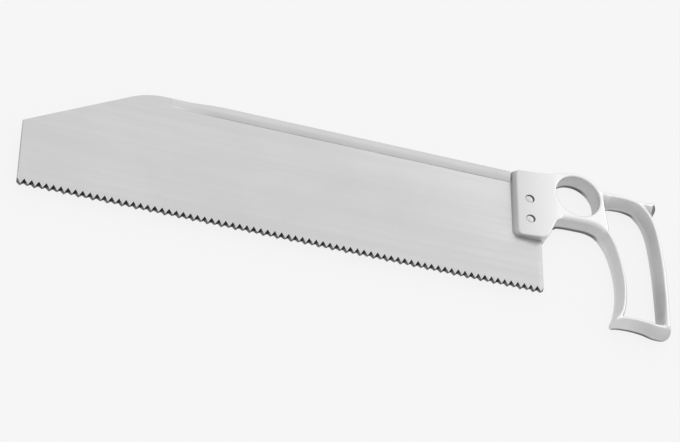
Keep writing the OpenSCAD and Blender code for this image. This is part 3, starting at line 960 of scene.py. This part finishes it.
class HandlePlan:
    """Levels and bar keys of the handle, worked out from its settings."""

    def __init__(self, settings):
        self.settings = settings
        self.ring_outer = RING_INNER + settings.ring_wall
        self.knuckle = RING_CENTRE.y - self.ring_outer + settings.knuckle_width / 8
        self.foot = -settings.foot_drop
        self.ring_rear = RING_CENTRE.x + self.ring_outer

    def down(self, t):
        """Level part of the way from the knuckle bar to the foot."""
        return mix(self.knuckle, self.foot, t)

    def fall(self, t):
        """Level part of the way from the top bar to the foot."""
        return mix(self.settings.arch_height, self.foot, t)

    def strap(self):
        """From inside the head round into the front strap and down to the foot."""
        back, knuckle_half = self.settings.strap_back, self.settings.knuckle_width / 2
        half, deep = self.settings.strap_width / 2, self.settings.strap_depth / 2
        start = RING_CENTRE.x + 0.72 * self.ring_outer
        return [
            (start, self.knuckle - 0.35 * knuckle_half, 0.8 * half, 0.9 * deep),
            (back - 4.75 * half, self.down(0.06), mix(knuckle_half, half, 0.4), mix(deep, HEAD_HALF, 0.6)),
            (back - 2.6 * half, self.down(0.17), mix(knuckle_half, half, 0.8), mix(deep, HEAD_HALF, 0.5)),
            (back - 1.08 * half, self.down(0.31), 1.14 * half, mix(deep, HEAD_HALF, 0.3)),
            (back - 0.12 * half, self.down(0.46), 1.23 * half, mix(deep, HEAD_HALF, 0.1)),
            (back + 0.32 * half, self.down(0.62), 1.33 * half, deep),
            (back + 0.08 * half, self.down(0.78), 1.38 * half, deep),
            (back - 0.82 * half, self.down(0.92), 1.35 * half, deep),
            (back - 2.07 * half, self.foot - 0.4 * half, half, deep),
        ]

    def loop(self):
        """From the ring over the window and down the rear of the grip."""
        ring, rear, high = self.ring_rear, self.settings.rear_back, self.settings.arch_height
        half, deep = self.settings.arch_width / 2, self.settings.arch_depth / 2
        rear_half, rear_deep = self.settings.rear_width / 2, self.settings.rear_depth / 2
        corner_half = 1.22 * mix(half, rear_half, 0.4)
        return [
            (ring - 1.25 * half, high + 0.3 * half, 0.8 * half, 0.98 * deep),
            (ring + 0.75 * half, high - 0.6 * half, 1.65 * half, deep),
            (ring + 2.6 * half, high - 0.45 * half, 1.44 * half, deep),
            (mix(ring, rear, 0.42), high - 0.4 * half, 1.23 * half, deep),
            (mix(ring, rear, 0.62), high - 0.95 * half, 1.27 * half, deep),
            (rear - 3.5 * rear_half, self.fall(0.072), corner_half, mix(deep, rear_deep, 0.5)),
            (rear - 2.3 * rear_half, self.fall(0.13), 1.15 * rear_half, rear_deep),
            (rear - 1.42 * rear_half, self.fall(0.21), 1.09 * rear_half, rear_deep),
            (rear - 0.76 * rear_half, self.fall(0.34), 1.16 * rear_half, rear_deep),
            (rear - 0.25 * rear_half, self.fall(0.53), 1.24 * rear_half, rear_deep),
            (rear - 0.1 * rear_half, self.fall(0.73), 1.2 * rear_half, rear_deep),
            (rear - 0.08 * rear_half, self.fall(0.89), 1.16 * rear_half, rear_deep),
            (rear - 0.08 * rear_half, self.foot - 0.2 * rear_half, 1.05 * rear_half, 0.98 * rear_deep),
        ]

    def spur(self):
        """The corner of the top bar, drawn out straight to a blunt spur over the hand."""
        rear, high = self.settings.rear_back, self.settings.arch_height
        half, deep = self.settings.arch_width / 2, self.settings.arch_depth / 2
        return [
            (rear - 7.1 * half, high - 0.35 * half, 0.8 * half, 0.93 * deep),
            (rear - 4.7 * half, high - 0.6 * half, 1.15 * half, 0.95 * deep),
            (rear - 3 * half, high - 0.9 * half, 1.55 * half, 0.97 * deep),
            (rear - 1.8 * half, high - 0.75 * half, 1.65 * half, 0.96 * deep),
            (rear - 1.1 * half, high - 0.25 * half, 1.35 * half, 0.93 * deep),
            (rear - 0.7 * half, high + 0.1 * half, 1.1 * half, 0.88 * deep),
        ]

    def foot_bar(self):
        """Across the foot, deeper towards its rounded rear corner."""
        strap, rear, foot = self.settings.strap_back, self.settings.rear_back, self.foot
        half, deep = self.settings.foot_width / 2, self.settings.foot_depth / 2
        return [
            (strap - 2.6 * half, foot - 1.1 * half, 0.9 * half, 0.95 * deep),
            (strap - 0.6 * half, foot - 0.45 * half, 1.12 * half, deep),
            (mix(strap, rear, 0.25), foot - 0.22 * half, 1.22 * half, deep),
            (mix(strap, rear, 0.55), foot - 0.47 * half, 1.34 * half, deep),
            (rear - 2.9 * half, foot - 0.95 * half, 1.65 * half, deep),
            (rear - 0.6 * half, foot - 0.92 * half, 1.75 * half, deep),
            (rear + 0.65 * half, foot - 0.75 * half, 1.4 * half, 0.95 * deep),
            (rear + 1.2 * half, foot - 0.44 * half, 0.62 * half, 0.76 * deep),
        ]

    def under_ring(self):
        """Lower edge of the head: along the knuckle, round the fork and up beside the window.

        Each point is (x, y, edge rounding).
        """
        ring, outer, rear = RING_CENTRE, self.ring_outer, self.ring_rear
        knuckle_half, wall_half = self.settings.knuckle_width / 2, self.settings.ring_wall / 2
        wide, slim = self.settings.knuckle_edge, self.settings.head_edge
        return [
            (ring.x - 0.62 * outer, self.knuckle - 1.05 * knuckle_half, wide),
            (ring.x - 0.3 * outer, self.knuckle - 0.88 * knuckle_half, wide),
            (ring.x + 0.05 * outer, self.knuckle - 0.83 * knuckle_half, wide),
            (ring.x + 0.4 * outer, self.knuckle - 0.85 * knuckle_half, wide),
            (ring.x + 0.68 * outer, self.knuckle - 1.3 * knuckle_half, wide),
            (ring.x + 0.9 * outer, self.knuckle - 2.1 * knuckle_half, mix(slim, wide, 0.7)),
            (rear + 0.8 * wall_half, self.knuckle - 1.93 * knuckle_half, mix(slim, wide, 0.35)),
            (rear + 1.2 * wall_half, self.knuckle - 0.48 * knuckle_half, slim),
            (rear + 0.88 * wall_half, mix(self.knuckle, ring.y, 0.21), slim),
            (rear + 0.46 * wall_half, mix(self.knuckle, ring.y, 0.54), slim),
            (rear + 0.12 * wall_half, mix(self.knuckle, ring.y, 0.87), slim),
        ]

    def head(self):
        """Outline of the bolster and the finger ring, anticlockwise, as (x, y, edge rounding)."""
        settings, centre = self.settings, RING_CENTRE.to_2d()
        low_front = Vector((-BOLSTER_REACH, settings.bolster_bottom))
        low_rear = Vector((settings.heel_cover, settings.bolster_bottom))
        throat = Vector((centre.x - 0.795 * self.ring_outer, self.knuckle - 0.64 * settings.knuckle_width))
        shoulder = Vector((centre.x - 1.17 * self.ring_outer, settings.bolster_top))
        high_front = Vector((-BOLSTER_REACH, settings.bolster_top))
        under = smooth_path(self.under_ring(), 6)
        arc = [
            centre + self.ring_outer * Vector((math.cos(turn), math.sin(turn)))
            for turn in (math.radians(mix(*ARC_DEGREES, k / ARC_STEPS)) for k in range(ARC_STEPS + 1))
        ]
        front = [
            *soft_corner(high_front, low_front, low_rear, settings.corner),
            *soft_corner(low_front, low_rear, throat, settings.corner),
            *soft_corner(low_rear, throat, under[0].to_2d(), 0.6 * settings.corner),
        ]
        over = [
            *arc,
            *soft_corner(arc[-1], shoulder, high_front, 2 * settings.corner),
            *soft_corner(shoulder, high_front, low_front, settings.corner),
        ]

        def edged(point):
            """A point with an edge that is crisp on the bolster and softer towards the ring."""
            rounding = mix(settings.bolster_edge, settings.head_edge, ring_share(point.x))
            return Vector((point.x, point.y, rounding))

        return [edged(point) for point in front] + under + [edged(point) for point in over]


def ring_share(x):
    """How far a place lies from the heel towards the ring, from 0 on the bolster to 1 on the ring."""
    t = max(0.0, min(1.0, x / (RING_CENTRE.x - RING_INNER)))
    return t * t * (3 - 2 * t)


def add_head(bm, plan, steps=6):
    """The bolster and ring as one slab, crisp on the bolster, with leaning front walls."""
    outline = plan.head()
    count = len(outline)
    lean = plan.settings.cheek_lean
    inward = [
        left_of((outline[(i + 1) % count] - outline[i - 1]).to_2d().normalized()) for i in range(count)
    ]

    def level_ring(face, turn):
        """One ring of the rounded edge, from the flat face at no turn to the wall at a quarter turn."""
        ring = []
        for (x, y, edge), direction in zip(outline, inward):
            flat = Vector((x, y)) + edge * (1 - math.sin(turn)) * direction
            level = HEAD_HALF - edge * (1 - math.cos(turn))
            rise = (level - BLADE_HALF) / (HEAD_HALF - BLADE_HALF)
            front = max(0.0, min(1.0, -flat.x / BOLSTER_REACH))
            ring.append(HEEL + Vector((flat.x + lean * rise * front, flat.y, face * level)))
        return ring

    turns = [math.pi / 2 * k / steps for k in range(steps + 1)]
    waist = [
        [HEEL + Vector((x, y, level)) for x, y, edge in outline] for level in (-BLADE_HALF, BLADE_HALF)
    ]
    low = [level_ring(-1, turn) for turn in turns]
    high = [level_ring(1, turn) for turn in reversed(turns)]
    loft(bm, low + waist + high)


def ring_cutter(plan, steps=8):
    """What is bored out of the finger ring, bell-mouthed at both faces."""
    lip = plan.settings.ring_lip
    past = 2 * HEAD_HALF
    swings = [math.pi / 2 * k / steps for k in range(steps + 1)]
    mouth = [
        (RING_INNER + lip * (1 - math.cos(t)), HEAD_HALF - lip + lip * math.sin(t)) for t in swings
    ]
    wide = RING_INNER + 1.02 * lip
    profile = mirrored(mouth + [(wide, past), (0, past)])
    return turned("ring_cutter", profile, HEEL + RING_CENTRE, segments=160)


def recess_cutter(centre, rivets):
    """What is drilled out of the cheeks for one rivet, with a recess on both faces."""
    shank = rivets.shank / 2 + rivets.clearance
    wide = rivet_head_radius() + rivets.clearance
    face = rivet_level(rivets)
    seat = face - rivets.recess
    profile = mirrored([(shank, seat), (wide, seat), (wide, HEAD_HALF), (0, HEAD_HALF)])
    return turned("recess_cutter", profile, centre, segments=64)


def slot_cutter(settings):
    """What is sawn out of the bolster for the blade."""
    past = 2 * MM
    half = BLADE_HALF + settings.slot_clearance
    low = Vector((-BOLSTER_REACH - past, settings.bolster_bottom - past, -half))
    high = Vector((settings.slot_end, settings.bolster_top + past, half))
    bm = bmesh.new()
    bmesh.ops.create_cube(bm, size=1.0)
    size = Matrix.Diagonal((*(high - low), 1.0))
    bmesh.ops.transform(bm, matrix=Matrix.Translation(HEEL + (low + high) / 2) @ size, verts=bm.verts)
    return mesh_of("slot_cutter", bm)


def taper_bolster(mesh, settings):
    """Presses the cheeks down to a wedge that rises from the front of the bolster to the ring."""
    front = settings.cheek_lean - BOLSTER_REACH
    for vertex in mesh.vertices:
        side = vertex.co.z - HEEL.z
        over = abs(side) - BLADE_HALF
        if over > 0:
            rise = max(0.0, min(1.0, (vertex.co.x - HEEL.x - front) / settings.cheek_length))
            half = mix(settings.bolster_depth / 2, HEAD_HALF, rise)
            pressed = (half - BLADE_HALF) / (HEAD_HALF - BLADE_HALF)
            vertex.co.z = HEEL.z + math.copysign(BLADE_HALF + over * pressed, side)


def finish_by_hand(mesh, depth):
    """Moves a cast surface in and out a little, as a polisher's wheel leaves it."""
    normals = [vertex.normal.copy() for vertex in mesh.vertices]
    for vertex, normal in zip(mesh.vertices, normals):
        swell = mix(wavy(vertex.co / BROAD_SWELL), wavy(vertex.co / FINE_SWELL), 0.3)
        vertex.co -= normal * depth * swell


def recast(piece, cell):
    """Rebuilds a piece as one even skin over everything that its meshes fill."""
    remesh = piece.modifiers.new("casting", "REMESH")
    remesh.mode = "VOXEL"
    remesh.voxel_size = cell
    applied(piece)
    if not piece.data.polygons:
        raise RuntimeError("the bars of the handle didn't join into a casting")


def blend_joins(piece, settings):
    """Smooths the joins between the bars, and leaves the bolster crisp."""
    joins = piece.vertex_groups.new(name="joins")
    for vertex in piece.data.vertices:
        share = ring_share(vertex.co.x - HEEL.x)
        joins.add([vertex.index], mix(settings.bolster_blend, 1.0, share), "REPLACE")
    blend = piece.modifiers.new("blend", "SMOOTH")
    blend.vertex_group = joins.name
    blend.factor = 0.5
    blend.iterations = settings.blend_passes
    applied(piece)
    piece.vertex_groups.clear()


class SAW_OT_build_handle(bpy.types.Operator):
    """Builds the cast handle"""

    bl_idname = "saw.build_handle"
    bl_label = "Handle"

    def execute(self, context):
        """Joins the bars into one casting, bores the ring, smooths the joins, then slots and drills it."""
        settings = context.scene.saw_handle
        rivets = context.scene.saw_rivets
        plan = HandlePlan(settings)
        bm = bmesh.new()
        add_head(bm, plan)
        for keys in (plan.strap(), plan.loop(), plan.spur(), plan.foot_bar()):
            add_bar(bm, keys, settings)
        piece = new_piece("cast_handle", mesh_of("handle", bm))
        recast(piece, settings.cast_cell)
        cut(piece, [ring_cutter(plan)])
        recast(piece, settings.cast_cell)
        taper_bolster(piece.data, settings)
        blend_joins(piece, settings)
        finish_by_hand(piece.data, settings.hand_finish)
        cut(piece, [slot_cutter(settings), *(recess_cutter(centre, rivets) for centre in rivet_centres())])
        piece.data.materials.clear()
        reach, rise = plan.spur()[-1][:2]
        piece.data.materials.append(cast_alloy("cast_handle_alloy", settings.alloy, reach, rise))
        soften(piece.data, degrees=35)
        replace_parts(piece, "handle")
        return {"FINISHED"}


# Rivets

RIVET_NODES = {"upper_rivet": "upper_peened_rivet", "lower_rivet": "lower_peened_rivet"}


def rivet_centre(node):
    """Middle of one rivet."""
    low, high = node_box(node)
    return (low + high) / 2


def rivet_centres():
    """Middles of both rivets."""
    return [rivet_centre(node) for node in RIVET_NODES]


def rivet_head_radius():
    """Radius of the rivets' domed ends."""
    low, high = node_box("upper_rivet")
    return (high.x - low.x) / 2


def rivet_level(rivets):
    """Level of the cheeks at the rivets, which end a clearance below it."""
    low, high = node_box("upper_rivet")
    return (high.z - low.z) / 2 + rivets.clearance


def rivet_mesh(node, settings, steps=12):
    """A shank with a low dome hammered over on each end."""
    low, high = node_box(node)
    top = (high.z - low.z) / 2
    radius = rivet_head_radius()
    seat = rivet_level(settings) - settings.recess
    rise = top - seat - settings.rim
    dome = (radius * radius + rise * rise) / (2 * rise)
    arc = math.asin(radius / dome)
    turns = [arc * k / steps for k in range(steps, -1, -1)]
    cap = [(dome * math.sin(turn), top - dome + dome * math.cos(turn)) for turn in turns]
    profile = mirrored([(settings.shank / 2, seat), (radius, seat), *cap])
    mesh = turned(node, profile, rivet_centre(node), segments=64)
    for vertex in mesh.vertices:
        dent = wavy(vertex.co / DENT_LENGTH)
        vertex.co.z -= math.copysign(settings.peening * dent, vertex.co.z - HEEL.z)
    return mesh


class SAW_OT_build_rivets(bpy.types.Operator):
    """Builds both rivets"""

    bl_idname = "saw.build_rivets"
    bl_label = "Rivets"

    def execute(self, context):
        """Turns each rivet and gives both the same hammered steel."""
        settings = context.scene.saw_rivets
        steel = peened_steel("peened_rivet_steel", settings.steel)
        for node, name in RIVET_NODES.items():
            mesh = rivet_mesh(node, settings)
            mesh.materials.append(steel)
            soften(mesh, degrees=40)
            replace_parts(new_piece(name, mesh), node)
        return {"FINISHED"}


# Stage


def add_floor(settings):
    """A wide pale floor under the saw."""
    reach = 4.0
    bm = bmesh.new()
    bmesh.ops.create_grid(bm, x_segments=1, y_segments=1, size=reach)
    floor = in_scene("floor", mesh_of("floor", bm))
    floor.data.materials.append(floor_paint("pale_floor", settings.floor, settings.floor_glow))


def add_lamp(name, place, aim, size, power):
    """A large soft lamp that faces a point."""
    lamp = bpy.data.lights.new(name, "AREA")
    lamp.shape = "DISK"
    lamp.size = size
    lamp.energy = power
    holder = in_scene(name, lamp)
    holder.location = place
    holder.rotation_euler = (place - aim).to_track_quat("Z", "Y").to_euler()


def add_room_light(settings):
    """Soft light from overhead that fades towards a dim horizon."""
    world = bpy.data.worlds.new("soft_room")
    world.use_nodes = True
    tree = world.node_tree
    dim, bright = settings.horizon_light, settings.sky_light
    fade_start = 0.15
    values = {0: put(tree, "TexCoord").outputs["Generated"], 1: Vector(settings.bright_side).normalized()}
    toward = put(tree, "VectorMath", values, operation="DOT_PRODUCT").outputs["Value"]
    strength = ranged(tree, toward, fade_start, 1.0, dim, bright, "SMOOTHSTEP")
    feed(tree, tree.nodes["Background"], {"Color": (1.0, 1.0, 1.0, 1.0), "Strength": strength})
    bpy.context.scene.world = world


def add_camera(settings):
    """The camera at the photograph's angle."""
    aim = HEEL + Vector(settings.aim)
    level = math.cos(settings.elevation)
    back = Vector((
        level * math.sin(settings.azimuth), -level * math.cos(settings.azimuth), math.sin(settings.elevation)
    ))
    lens = bpy.data.cameras.new("camera")
    lens.lens = settings.lens
    lens.sensor_width = 36.0
    lens.sensor_fit = "HORIZONTAL"
    camera = in_scene("camera", lens)
    camera.location = aim + back * settings.distance
    turn = back.to_track_quat("Z", "Y") @ Quaternion((0.0, 0.0, 1.0), settings.roll)
    camera.rotation_euler = turn.to_euler()
    bpy.context.scene.camera = camera


class SAW_OT_build_stage(bpy.types.Operator):
    """Adds the floor, the light and the camera"""

    bl_idname = "saw.build_stage"
    bl_label = "Stage"

    def execute(self, context):
        """Adds the pale floor, soft light and the camera."""
        settings = context.scene.saw_stage
        add_floor(settings)
        add_room_light(settings)
        aim = HEEL + Vector(settings.aim)
        lamp_offset = Vector((0.9, 0.7, 0.7))
        lamp_size = 0.7
        add_lamp("key", aim + lamp_offset, aim, lamp_size, settings.key_light)
        add_camera(settings)
        context.scene.view_settings.view_transform = "Standard"
        return {"FINISHED"}


BUILD_OPERATORS = (
    SAW_OT_build_blade,
    SAW_OT_build_spine,
    SAW_OT_build_handle,
    SAW_OT_build_rivets,
    SAW_OT_build_stage,
)
SETTINGS = {
    "saw_blade": BladeSettings,
    "saw_spine": SpineSettings,
    "saw_handle": HandleSettings,
    "saw_rivets": RivetSettings,
    "saw_stage": StageSettings,
}


class SAW_PT_build(bpy.types.Panel):
    """Lists the steps that build the saw"""

    bl_idname = "SAW_PT_build"
    bl_label = "Amputation Saw"
    bl_space_type = "VIEW_3D"
    bl_region_type = "UI"
    bl_category = "Saw"

    def draw(self, context):
        """One button for each step."""
        for operator in BUILD_OPERATORS:
            self.layout.operator(operator.bl_idname)


CLASSES = (*SETTINGS.values(), *BUILD_OPERATORS, SAW_PT_build)


def register():
    """Adds the classes and the scene's settings."""
    for item in CLASSES:
        bpy.utils.register_class(item)
    for name, item in SETTINGS.items():
        setattr(bpy.types.Scene, name, PointerProperty(type=item))


def unregister():
    """Removes the classes and the scene's settings."""
    for name in SETTINGS:
        delattr(bpy.types.Scene, name)
    for item in reversed(CLASSES):
        bpy.utils.unregister_class(item)


def main():
    """Builds the whole saw."""
    register()
    bpy.ops.saw.build_blade()
    bpy.ops.saw.build_spine()
    bpy.ops.saw.build_handle()
    bpy.ops.saw.build_rivets()
    bpy.ops.saw.build_stage()


if __name__ == "__main__":
    main()
